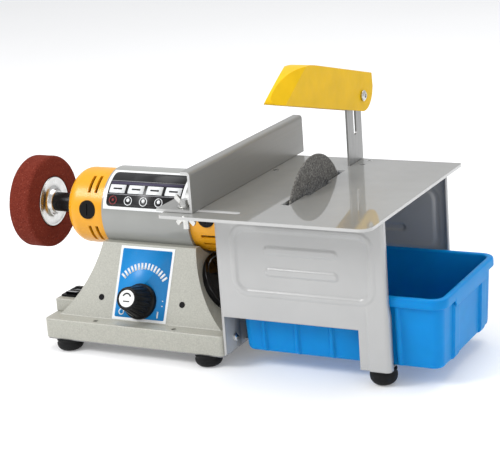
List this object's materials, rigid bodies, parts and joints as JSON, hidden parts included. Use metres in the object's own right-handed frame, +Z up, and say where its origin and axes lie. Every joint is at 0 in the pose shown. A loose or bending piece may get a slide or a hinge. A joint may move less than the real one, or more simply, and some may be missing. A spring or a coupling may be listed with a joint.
{
  "type": "wet grinding sharpener",
  "caption": "Bench machine whose motor turns a grinding wheel on the left and a guarded saw blade in a small table on the right, over a sliding water tray.",
  "frame": {"origin": "on the floor, under the middle of the machine's bounding box", "axes": "+X towards the water tray and the saw table, +Y to the back, +Z up"},
  "size_m": [0.504, 0.256, 0.2844],
  "materials": {
    "cast_paint": "hammered enamel",
    "bottom_sheet": "plain",
    "rubber_feet": "moulded",
    "dark_plastic": "fine texture",
    "dark_gloss": "glossy",
    "blue_foil": "printed foil",
    "black_foil": "printed foil",
    "white_disc": "satin",
    "dark_steel": "blackened",
    "bright_steel": "zinc plated",
    "shaft_steel": "ground",
    "laminations": "stacked sheet",
    "copper": "enamelled",
    "brass": "bright",
    "carbon": "matt",
    "board": "circuit board",
    "motor_paint": "glossy enamel",
    "amber_plastic": "glossy",
    "fan_plastic": "moulded",
    "abrasive": "coarse bonded grit",
    "blade_steel": "grit coated",
    "panel_paint": "satin enamel",
    "table_steel": "polished",
    "guard_plastic": "glossy",
    "tray_plastic": "glossy"
  },
  "bodies": {
    "machine": {"base_casting": "cast_paint", "bottom_plate": "bottom_sheet", "base_feet": "rubber_feet", "leg_feet": "rubber_feet", "foot_screws": "bright_steel", "access_cover": "dark_gloss", "control_label": "blue_foil", "panel_screws": "dark_steel", "potentiometer": "bright_steel", "control_board": "board", "switch_housing": "cast_paint", "switch_bezel": "dark_plastic", "cord_gland": "dark_plastic", "motor_barrel": "motor_paint", "left_end_cap": "amber_plastic", "right_end_cap": "amber_plastic", "brush_caps": "dark_plastic", "blank_plugs": "dark_plastic", "rating_label": "black_foil", "stator_core": "laminations", "field_coils": "copper", "carbon_brushes": "carbon", "brush_holders": "brass", "brush_springs": "shaft_steel", "bearings": "shaft_steel", "front_panel": "panel_paint", "back_panel": "panel_paint", "splash_plate": "panel_paint", "frame_bolts": "bright_steel", "table_top": "table_steel", "table_nuts": "bright_steel", "table_screws": "bright_steel", "guard_bracket": "bright_steel"},
    "rotor": {"motor_shaft": "shaft_steel", "armature_core": "laminations", "armature_windings": "copper", "winding_collars": "dark_plastic", "commutator": "copper", "cooling_fan": "fan_plastic", "wheel_sleeve": "dark_steel", "grinding_wheel": "abrasive", "wheel_flanges": "bright_steel", "wheel_nut": "bright_steel", "blade_spacer": "shaft_steel", "blade_flanges": "bright_steel", "blade_nut": "bright_steel", "saw_blade": "blade_steel"},
    "knob": {"speed_knob": "dark_plastic", "knob_disc": "white_disc", "knob_shaft": "shaft_steel"},
    "rocker": {"switch_rocker": "dark_gloss"},
    "rip_fence": {"fence": "table_steel", "wing_bolt": "bright_steel", "fence_washers": "bright_steel"},
    "clamp_nut": {"wing_nut": "bright_steel"},
    "guard_carrier": {"guard_bolt": "bright_steel", "guard_nut": "bright_steel"},
    "guard": {"blade_guard": "guard_plastic"},
    "tray": {"water_tray": "tray_plastic"}
  },
  "joints": [
    {"name": "rotor_spin", "type": "hinge", "parent": "machine", "child": "rotor", "pos_m": [0, -0.004, 0.13], "axis": [1, 0, 0], "continuous": true},
    {"name": "knob_turn", "type": "hinge", "parent": "machine", "child": "knob", "pos_m": [-0.073, -0.06931, 0.05207], "axis": [0, -0.9057, 0.4239], "range_deg": [0, 280]},
    {"name": "rocker_turn", "type": "hinge", "parent": "machine", "child": "rocker", "pos_m": [-0.1635, -0.048, 0.0485], "axis": [1, 0, 0], "range_deg": [0, 16]},
    {"name": "fence_slide", "type": "slide", "parent": "machine", "child": "rip_fence", "axis": [1, 0, 0], "range_m": [0, 0.054]},
    {"name": "wing_nut_turn", "type": "hinge", "parent": "rip_fence", "child": "clamp_nut", "pos_m": [0.007, -0.1045, 0.155], "axis": [0, 0, 1], "continuous": true},
    {"name": "guard_height", "type": "slide", "parent": "machine", "child": "guard_carrier", "axis": [0, 0, 1], "range_m": [-0.035, 0.006]},
    {"name": "guard_tilt", "type": "hinge", "parent": "guard_carrier", "child": "guard", "pos_m": [0.0935, 0.098, 0.2305], "axis": [1, 0, 0], "range_deg": [-36, 14]},
    {"name": "tray_slide", "type": "slide", "parent": "machine", "child": "tray", "axis": [1, 0, 0], "range_m": [-0.005, 0.044]}
  ]
}
